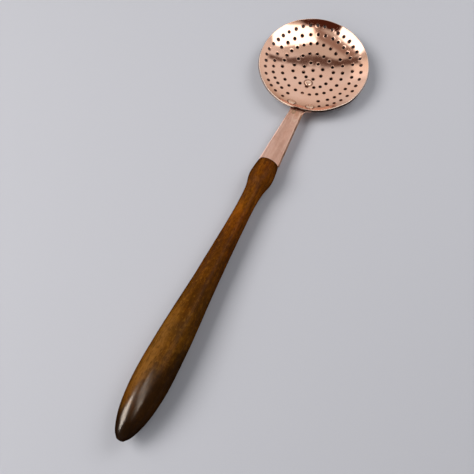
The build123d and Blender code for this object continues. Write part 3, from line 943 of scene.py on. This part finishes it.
# ------------------------------------------------------------------ materials
def polished_copper():
    material, tree, shader = new_material("copper_polished")
    place = coords(tree)
    hole_edge = attribute(tree, "hole_edge")
    rivet_gap_shade = attribute(tree, "rivet_gap_shade")
    rim = attribute(tree, "rim")
    inside = attribute(tree, "inside")
    clouds = noise(place, scale=38.0, detail=4.0, rough=0.6)
    fine = noise(place, scale=420.0, detail=3.0, rough=0.6)
    base = mix(ramp(clouds, (0.35, 0.68)), (0.940, 0.606, 0.478), (0.910, 0.556, 0.420))
    # darker and browner on the holes' walls and mouths; painted shade in a dark line round each rivet
    # head's foot
    hole_darkening = ramp(hole_edge, (0.25, 0.95)) * ramp(fine, (0.30, 0.62), to=(0.55, 1.0))
    base = tint(base, hole_darkening * 0.90, (0.12, 0.034, 0.014))
    base = tint(base, rivet_gap_shade * 1.0, (0.085, 0.030, 0.013))
    # a warmer rim, a bright cut edge, and painted shade on its lower part
    base = tint(base, rim * ramp(clouds, (0.35, 0.65), to=(0.10, 0.40)), (0.93, 0.52, 0.35))
    base = tint(base, attribute(tree, "cut_edge"), (0.975, 0.75, 0.63))
    base = tint(base, attribute(tree, "rim_low_shade"), (0.022, 0.007, 0.004))
    # the underside is dull and dark
    base = tint(base, ramp(inside, (0.35, 0.75), to=(1.0, 0.0)),
                mix(clouds, (0.17, 0.070, 0.042), (0.11, 0.042, 0.024)))
    # long, fine polishing scratches run two ways
    scratch1 = noise(coords(tree, scale=(1, 14, 1), turn=0.5), scale=260.0, detail=2.0, rough=0.5)
    scratch2 = noise(coords(tree, scale=(16, 1, 1), turn=-0.35), scale=240.0, detail=2.0, rough=0.5)
    scratch = math_node("ADD", ramp(scratch1, (0.60, 0.74)), ramp(scratch2, (0.62, 0.76)), clamp=True)
    rough = (ramp(clouds, (0.3, 0.75), to=(0.055, 0.115)) + scratch * 0.05 + hole_edge * 0.22
             + rivet_gap_shade * 0.30 + rim * 0.03)
    rough = math_node("ADD", rough, ramp(inside, (0.35, 0.75), to=(0.28, 0.0)), clamp=True)
    height = noise(place, scale=95.0, detail=3.0, rough=0.5) * 0.7 + fine * 0.10
    fill(shader, {"Base Color": base, "Metallic": 1.0, "Roughness": rough,
                  "Normal": bump(height, strength=0.35, distance=0.00006)})
    return material


def satin_copper():
    material, tree, shader = new_material("copper_satin")
    place = coords(tree)
    edge = attribute(tree, "edge")
    along = attribute(tree, "along")
    streaks = noise(coords(tree, scale=(30, 1.2, 1.0)), scale=42.0, detail=4.0, rough=0.65)
    broad = noise(coords(tree, scale=(9, 0.6, 1.0)), scale=16.0, detail=3.0, rough=0.6)
    mottle = noise(place, scale=70.0, detail=4.0, rough=0.6)
    base = mix(ramp(broad, (0.35, 0.7)), (0.90, 0.590, 0.490), (0.80, 0.480, 0.375))
    base = tint(base, ramp(mottle, (0.50, 0.72), to=(0.0, 0.60)), (0.66, 0.335, 0.23))
    base = tint(base, ramp(streaks, (0.48, 0.72)) * 0.40, (0.97, 0.72, 0.62))
    # the chamfers: a painted highlight on the -X side, which faces the light, and painted shade on
    # the +X side
    base = tint(base, edge * 0.45, (0.93, 0.70, 0.60))
    shade = attribute(tree, "shade_edge") * ramp(mottle, (0.3, 0.6), to=(0.70, 0.95))
    base = tint(base, shade, (0.17, 0.085, 0.055))
    # painted shade, warmer and a little darker, where it goes under the rim; stained there too
    base = tint(base, ramp(along, (86.0, 70.0), to=(0.0, 0.40)), (0.80, 0.42, 0.26))
    stain = noise(coords(tree, scale=(1.0, 0.55, 1.0), turn=0.5), scale=210.0, detail=3.0, rough=0.6)
    dark_stain = ramp(stain, (0.52, 0.68)) * ramp(along, (108.0, 82.0), to=(0.12, 0.45))
    base = tint(base, dark_stain, (0.58, 0.27, 0.16))
    pale_stain = ramp(stain, (0.46, 0.34)) * ramp(along, (108.0, 82.0), to=(0.10, 0.45))
    base = tint(base, pale_stain, (0.98, 0.76, 0.62))
    # the punch mark, on the upper face only: a bright ring edged with dark
    up = separate(geometry(tree, "Normal"))[2]
    struck = attribute(tree, "struck") * ramp(up, (0.0, 0.3))
    base = tint(base, struck * 0.85, (1.0, 0.78, 0.52))
    ring = ramp(struck, (0.03, 0.30)) * ramp(struck, (0.85, 0.50))
    base = tint(base, ring * 0.85, (0.30, 0.14, 0.07))
    rough = (ramp(streaks, (0.3, 0.75), to=(0.36, 0.50))
             + ramp(mottle, (0.4, 0.8), to=(0.0, 0.10)))
    fill(shader, {"Base Color": base, "Metallic": 1.0, "Anisotropic": 0.35,
                  "Roughness": math_node("SUBTRACT", rough, edge * 0.14, clamp=True),
                  "Normal": bump(streaks * 0.8 + mottle * 0.5, strength=0.35, distance=0.00010)})
    return material


def rivet_copper():
    material, tree, shader = new_material("copper_rivet")
    place = coords(tree)
    mottle = noise(place, scale=260.0, detail=4.0, rough=0.6)
    base = mix(ramp(mottle, (0.35, 0.7)), (0.98, 0.71, 0.57), (0.95, 0.62, 0.47))
    hollow = ramp(geometry(tree, "Pointiness"), (0.44, 0.50), to=(1.0, 0.0))
    base = tint(base, hollow * 0.6, (0.42, 0.19, 0.10))
    # painted shade round the head's foot, and on the dome's +Y side
    base = tint(base, attribute(tree, "foot") * 0.94, (0.10, 0.036, 0.018))
    grit = noise(place, scale=520.0, detail=3.0, rough=0.5)
    fill(shader, {"Base Color": base, "Metallic": 1.0,
                  "Roughness": ramp(mottle, (0.3, 0.8), to=(0.16, 0.30)),
                  "Normal": bump(grit, strength=0.25, distance=0.00005)})
    return material


def figure_colour(figure):
    """The wood's main figure, from dark to light."""
    node = new_node("ShaderNodeValToRGB", {0: figure})
    stops = node.color_ramp.elements
    colours = ((0.25, (0.070, 0.0195, 0.0008)), (0.45, (0.128, 0.038, 0.0016)),
               (0.58, (0.186, 0.059, 0.0028)), (0.78, (0.245, 0.088, 0.0055)))
    while len(stops) < len(colours):
        stops.new(0.5)
    for stop, (position, colour) in zip(stops, colours):
        stop.position = position
        stop.color = (*colour, 1)
    return Field(node.outputs[0])


def tone_along(along):
    """Half the wood's brightness, as a curve over the handle's length."""
    node = new_node("ShaderNodeFloatCurve", {"Value": along / 356.5})
    points = node.mapping.curves[0].points
    points[0].location = (0.0, 0.44)
    points[1].location = (1.0, 0.40)
    for position, tone in ((0.045, 0.58), (0.16, 0.66), (0.25, 0.56), (0.40, 0.42),
                           (0.52, 0.40), (0.64, 0.50), (0.76, 0.58), (0.86, 0.48)):
        points.new(position, tone)
    return Field(node.outputs[0])


def varnished_wood():
    material, tree, shader = new_material("turned_hardwood")
    place = coords(tree)
    along = attribute(tree, "along")
    # textures are stretched along the handle
    warp = noise(coords(tree, scale=(1, 0.4, 1)), scale=40.0, detail=3.0, rough=0.55, output=1)
    sway = scaled(vector_math("SUBTRACT", warp, (0.5, 0.5, 0.5)), 0.014)
    figure = noise(vector_math("ADD", coords(tree, scale=(1.0, 0.17, 1.0)), sway),
                   scale=105.0, detail=4.0, rough=0.60, distortion=0.2)
    grain = noise(coords(tree, scale=(1.0, 0.06, 1.0)), scale=850.0, detail=4.0, rough=0.65)
    fleck_place = vector_math("ADD", coords(tree, scale=(1.0, 0.30, 1.0)), scaled(warp, 0.006))
    fleck = noise(fleck_place, scale=430.0, detail=4.0, rough=0.62)
    pores = noise(coords(tree, scale=(1.0, 0.12, 1.0), shift=(0.3, 0.1, 0.2)),
                  scale=1300.0, detail=2.0, rough=0.5)
    blotch = noise(coords(tree, scale=(1, 0.7, 1), shift=(0.1, 0.0, 0.4)),
                   scale=30.0, detail=4.0, rough=0.60)
    speck = noise(coords(tree, scale=(1.0, 0.55, 1.0), shift=(0.2, 0.5, 0.1)),
                  scale=400.0, detail=3.0, rough=0.62)
    base = scaled(figure_colour(figure), tone_along(along) * 2.0)
    # texture, its span, greatest amount and colour
    for texture, span, most, colour in (
        (blotch, (0.42, 0.66), 0.58, (0.055, 0.019, 0.0015)),
        (blotch, (0.47, 0.32), 0.50, (0.250, 0.066, 0.0022)),
        (fleck, (0.46, 0.68), 0.48, (0.035, 0.012, 0.0012)),
        (grain, (0.48, 0.72), 0.46, (0.040, 0.012, 0.0010)),
        (pores, (0.62, 0.74), 0.70, (0.014, 0.004, 0.0005)),
        (speck, (0.47, 0.62), 0.42, (0.052, 0.020, 0.0018)),
        (speck, (0.45, 0.34), 0.30, (0.285, 0.112, 0.010)),
    ):
        base = tint(base, ramp(texture, span, to=(0.0, most)), colour)
    # redder at the neck, yellower at the swell, and a paler painted sheen on the swell's -X side,
    # which faces the light
    hue = mix(ramp(along, (110.0, 250.0)), (1.04, 0.90, 0.75), (1.0, 1.10, 1.30))
    base = vector_math("MULTIPLY", base, hue)
    aside = (separate(place)[0] - (HANDLE_X + AXIS_X) * MM) * 1000.0     # mm off the handle's line
    pale = (ramp(aside, (1.0, -8.0)) * ramp(aside, (-17.5, -12.5), to=(0.35, 1.0))
            * (ramp(along, (190.0, 250.0)) * ramp(along, (318.0, 290.0))))
    base = tint(base, pale * ramp(fleck, (0.40, 0.60), to=(0.62, 0.25)), (0.285, 0.118, 0.020))
    # both ends are darkened, the line of it wandering at the butt and reaching further forward on the
    # +X side, away from the light, as painted shade
    wander = along + aside * 2.1 + (blotch - 0.5) * 90.0
    ends = math_node("MAXIMUM", ramp(along, (9.0, 0.0)) * 0.35, ramp(wander, (266.0, 318.0)))
    base = tint(base, ends * 0.82, (0.017, 0.0058, 0.0012))
    base = scaled(base, ramp(along, (316.0, 350.0), to=(1.0, 0.50)))
    facing = field("ShaderNodeLayerWeight", {"Blend": 0.5}, "Facing", tree=tree)
    # painted shade: darker where the surface turns away from the camera, towards the outline
    base = scaled(base, ramp(facing, (0.50, 0.92), to=(1.0, 0.62)))

    def swell():
        return noise(place, scale=120.0, detail=2.0, rough=0.5)

    height = grain * -0.6 + pores * -1.0
    polish = noise(place, scale=55.0, detail=3.0, rough=0.6)
    fill(shader, {
        "Base Color": base,
        "IOR": 1.5,
        "Specular IOR Level": 0.0,
        "Roughness": ramp(grain, (0.3, 0.75), to=(0.34, 0.50)),
        "Coat Weight": ramp(facing, (0.26, 0.55), to=(0.10, 0.012)),
        "Coat Roughness": ramp(polish, (0.3, 0.75), to=(0.16, 0.27)),
        "Coat IOR": 1.5,
        "Normal": bump(swell(), strength=0.25, distance=0.00012,
                       normal=bump(height, strength=0.35, distance=0.00014)),
        "Coat Normal": bump(height + swell(), strength=0.14, distance=0.00012),
    })
    return material


BACKDROP = (0.56, 0.56, 0.60)


def paper():
    material, tree, shader = new_material("paper_floor")
    place = texture_place(tree)
    fine = noise(place, scale=900.0, detail=3.0, rough=0.6)
    base = mix(ramp(fine, (0.3, 0.7)), (0.612, 0.612, 0.652), (0.627, 0.627, 0.667))
    # painted shadow: a dark round patch under the bowl
    middle = ((AXIS_X - 3.9) * MM, (AXIS_Y + 12.9) * MM, 0.0)
    away = vector_math("DISTANCE", place, middle, output="Value")
    base = tint(base, ramp(away, (0.0700, 0.0640), to=(0.0, 0.91)), (0.034, 0.010, 0.005))
    fill(shader, {"Base Color": base, "Roughness": 0.85, "Specular IOR Level": 0.15,
                  "Normal": bump(fine, strength=0.12, distance=0.0001)})
    # far from the tool the paper runs out into the pale backdrop
    away = vector_math("DISTANCE", place, (0.0, -0.2, 0.0), output="Value")
    glow = field("ShaderNodeEmission", {0: BACKDROP}, tree=tree)
    surface = field("ShaderNodeMixShader",
                    {0: ramp(away, (0.85, 2.4)), 1: Field(shader.outputs[0]), 2: glow})
    fill(tree.nodes[0], {0: surface})
    return material


# ------------------------------------------------------------------ pieces
bowl = build_bowl()
strap = build_strap()
rivet_left, rivet_right, rivet_tongue = [build_rivet(*rivet) for rivet in RIVETS]
handle = build_handle()

polished, satin, riveted, wood = polished_copper(), satin_copper(), rivet_copper(), varnished_wood()
for ob, node, slot, material in (
    (bowl, "skimmer_bowl", "polished_copper", polished),
    (strap, "handle_strap", "satin_copper", satin),
    (rivet_left, "rim_rivet_left", "rivet_copper", riveted),
    (rivet_right, "rim_rivet_right", "rivet_copper", riveted),
    (rivet_tongue, "tongue_rivet", "rivet_copper", riveted),
    (handle, "wood_handle", "varnished_wood", wood),
):
    ob.data.materials.append(material)
    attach(ob, "root")
    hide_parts(node)


# ------------------------------------------------------------------ floor
def build_floor():
    mesh = bpy.data.meshes.new("studio_floor")
    grid = bmesh.new()
    bmesh.ops.create_grid(grid, x_segments=8, y_segments=8, size=6.0)
    grid.to_mesh(mesh)
    grid.free()
    floor = bpy.data.objects.new("studio_floor", mesh)
    bpy.context.scene.collection.objects.link(floor)
    mesh.materials.append(paper())


build_floor()


# ------------------------------------------------------------------ lights, metres and watts
def area_light(name, location, rotation, width, length, energy, colour, glossy):
    light = bpy.data.lights.new(name, "AREA")
    light.energy = energy
    light.color = colour
    light.shape = "RECTANGLE"
    light.size = width
    light.size_y = length
    ob = bpy.data.objects.new(name, light)
    ob.location = location
    ob.rotation_euler = rotation
    bpy.context.scene.collection.objects.link(ob)
    ob.visible_glossy = glossy
    return ob


# name, place, side, power and colour of the square lights
for name, location, size, energy, colour in (
    ("key", (-1.405, -0.658, 1.762), 1.3, 34.0, (1.0, 0.985, 0.965)),
    ("fill_back", (0.529, 0.528, 1.072), 0.8, 5.6, (0.97, 0.98, 1.0)),
    ("fill_front", (-0.698, -1.160, 0.742), 0.8, 3.0, (0.97, 0.98, 1.0)),
):
    aim = Vector((0.0, -0.2, 0.0)) - Vector(location)
    area_light(name, location, aim.to_track_quat("-Z", "Y").to_euler(), size, size, energy,
               colour, glossy=False)


def gloss_strip(name, toward, along, length, width, energy):
    """A strip light, 1 m from the butt, that only puts a streak on the handle's varnish."""
    butt = Vector((HANDLE_X + AXIS_X, -430 + AXIS_Y, 18)) * MM
    z_dir = Vector(toward).normalized()
    y_dir = Vector(along) - z_dir * Vector(along).dot(z_dir)
    y_dir.normalize()
    rotation = Matrix((y_dir.cross(z_dir), y_dir, z_dir)).transposed().to_euler()
    ob = area_light(name, butt + z_dir, rotation, width, length, energy,
                    colour=(1.0, 0.945, 0.85), glossy=True)
    ob.visible_diffuse = False
    receivers = bpy.data.collections.new(name)
    receivers.objects.link(handle)
    ob.light_linking.receiver_collection = receivers


gloss_strip("gloss_strip_left", toward=(-0.70, -0.46, 0.56), along=(0.61, -0.79, 0.08),
            length=0.52, width=0.50, energy=96.0)
gloss_strip("gloss_strip_top", toward=(0.06, -0.17, 1.0), along=(0.60, -0.25, 0.0),
            length=0.90, width=0.20, energy=23.0)


# ------------------------------------------------------------------ world
def turned(sky, centre, angle):
    """Sky coordinates about a centre, turned by an angle in degrees."""
    cosine, sine = math.cos(math.radians(angle)), math.sin(math.radians(angle))
    dx, dy = sky[0] - centre[0], sky[1] - centre[1]
    return dx * cosine + dy * sine, dy * cosine - dx * sine


def panel(sky, centre, angle, half, soft):
    """A soft-edged panel overhead: 1 inside, 0 outside. `half` is its half length and width."""
    across, up = [ramp(abs(offset), (size + soft / 2, size - soft / 2))
                  for offset, size in zip(turned(sky, centre, angle), half)]
    return across * up


def reflected_room(sky, dx, dy, dz):
    """What the copper mirrors. `sky` is in degrees from the zenith, towards +X and +Y."""
    sky_x, sky_y = sky
    side = dx * -0.80 + dy * -0.60
    low = ramp(dz, (0.42, 0.02))
    light = ramp(sky_y, (20.0, 34.0), to=(0.56, 0.74)) * 1.0
    light = light + low * ramp(side, (-0.2, 0.9), to=(-0.28, 1.30))
    lift = ramp(sky_x, (-36.0, -44.0), to=(0.0, 0.42)) * ramp(sky_y, (8.0, 14.0))
    light = light + lift * ramp(sky_y, (38.0, 26.0))
    hue = mix(low * ramp(side, (0.0, -0.4)), (1.0, 0.975, 0.945), (1.0, 0.86, 0.72))
    hue = tint(hue, ramp(sky_y, (30.0, 18.0)), (1.0, 0.93, 0.84))
    room = scaled(hue, light)
    # dark line where backdrop and ceiling meet
    across, up = turned(sky, centre=(-10.0, 25.5), angle=24.0)
    bend = up - across * across * 0.0006
    line = (ramp(abs(bend), (4.7, 1.9)) * ramp(across, (-42.0, -36.0))
            * ramp(across, (46.0, 40.0)))
    room = tint(room, line * 0.93, (0.070, 0.024, 0.011))
    # ceiling band between the two bright windows
    band_between = panel(sky, centre=(-11, -2.2), angle=-17, half=(31, 5.4), soft=5.0)
    room = tint(room, band_between * 0.72, (0.20, 0.095, 0.058))
    window1 = panel(sky, centre=(22.5, 8.0), angle=34, half=(21, 11.0), soft=3.0)
    window2 = panel(sky, centre=(-32.0, -9.5), angle=-28, half=(19, 6.2), soft=3.0)
    room = tint(room, window1, (2.6, 2.5, 2.4))
    room = tint(room, window2, (2.8, 2.75, 2.7))
    # behind the camera it is dark
    dark = panel(sky, centre=(10.0, -27), angle=10, half=(25.5, 15), soft=5.0)
    return tint(room, dark, (0.062, 0.018, 0.010))


def build_world():
    world = bpy.data.worlds.new("studio")
    bpy.context.scene.world = world
    world.use_nodes = True
    tree = world.node_tree
    for node in list(tree.nodes):
        tree.nodes.remove(node)
    output = tree.nodes.new("ShaderNodeOutputWorld")
    dx, dy, dz = separate(vector_math("NORMALIZE", texture_place(tree, "Generated")))
    height = math_node("MINIMUM", math_node("MAXIMUM", dz, -1.0), 1.0)
    polar = math_node("DEGREES", math_node("ARCCOSINE", height))
    level = math_node("MAXIMUM", math_node("SQRT", dx * dx + dy * dy), 1e-4)
    sky = (dx / level * polar, dy / level * polar)

    # glossy rays see the room, the camera the pale backdrop, and all others a soft light
    glossy = field("ShaderNodeBackground", {0: reflected_room(sky, dx, dy, dz)})
    soft = ramp(dz, (0.02, 0.75), to=(0.10, 1.0)) * 0.20
    plain = field("ShaderNodeBackground", {0: scaled((0.95, 0.965, 1.0), soft)})
    pale = field("ShaderNodeBackground", {0: BACKDROP}, tree=tree)
    rays = new_node("ShaderNodeLightPath", {}, tree=tree).outputs
    lighting = field("ShaderNodeMixShader",
                     {0: Field(rays["Is Glossy Ray"]), 1: plain, 2: glossy})
    seen = field("ShaderNodeMixShader", {0: Field(rays["Is Camera Ray"]), 1: lighting, 2: pale})
    fill(output, {0: seen})


build_world()

# ------------------------------------------------------------------ camera and view
CAMERA_AT = (145.37, -476.741, 720.429)      # mm about the bowl's axis
YAW, PITCH, ROLL = math.radians(-29.703), math.radians(69.755), math.radians(-3.339)


def build_camera():
    forward = np.array([math.sin(YAW) * math.cos(PITCH), math.cos(YAW) * math.cos(PITCH),
                        -math.sin(PITCH)])
    level = np.array([math.cos(YAW), -math.sin(YAW), 0.0])
    upright = np.cross(level, forward)
    right = level * math.cos(ROLL) + upright * math.sin(ROLL)
    up = -level * math.sin(ROLL) + upright * math.cos(ROLL)
    data = bpy.data.cameras.new("camera")
    data.sensor_fit = "HORIZONTAL"
    data.sensor_width = 36.0
    data.lens = 49.3670886
    data.clip_start = 0.01
    camera = bpy.data.objects.new("camera", data)
    bpy.context.scene.collection.objects.link(camera)
    columns = np.column_stack([right, up, -forward, to_world(CAMERA_AT)])
    camera.matrix_world = Matrix([*columns.tolist(), (0, 0, 0, 1)])
    bpy.context.scene.camera = camera


build_camera()

view = bpy.context.scene.view_settings
view.view_transform = "Standard"
view.look = "None"
view.exposure = 0.0
view.gamma = 1.0
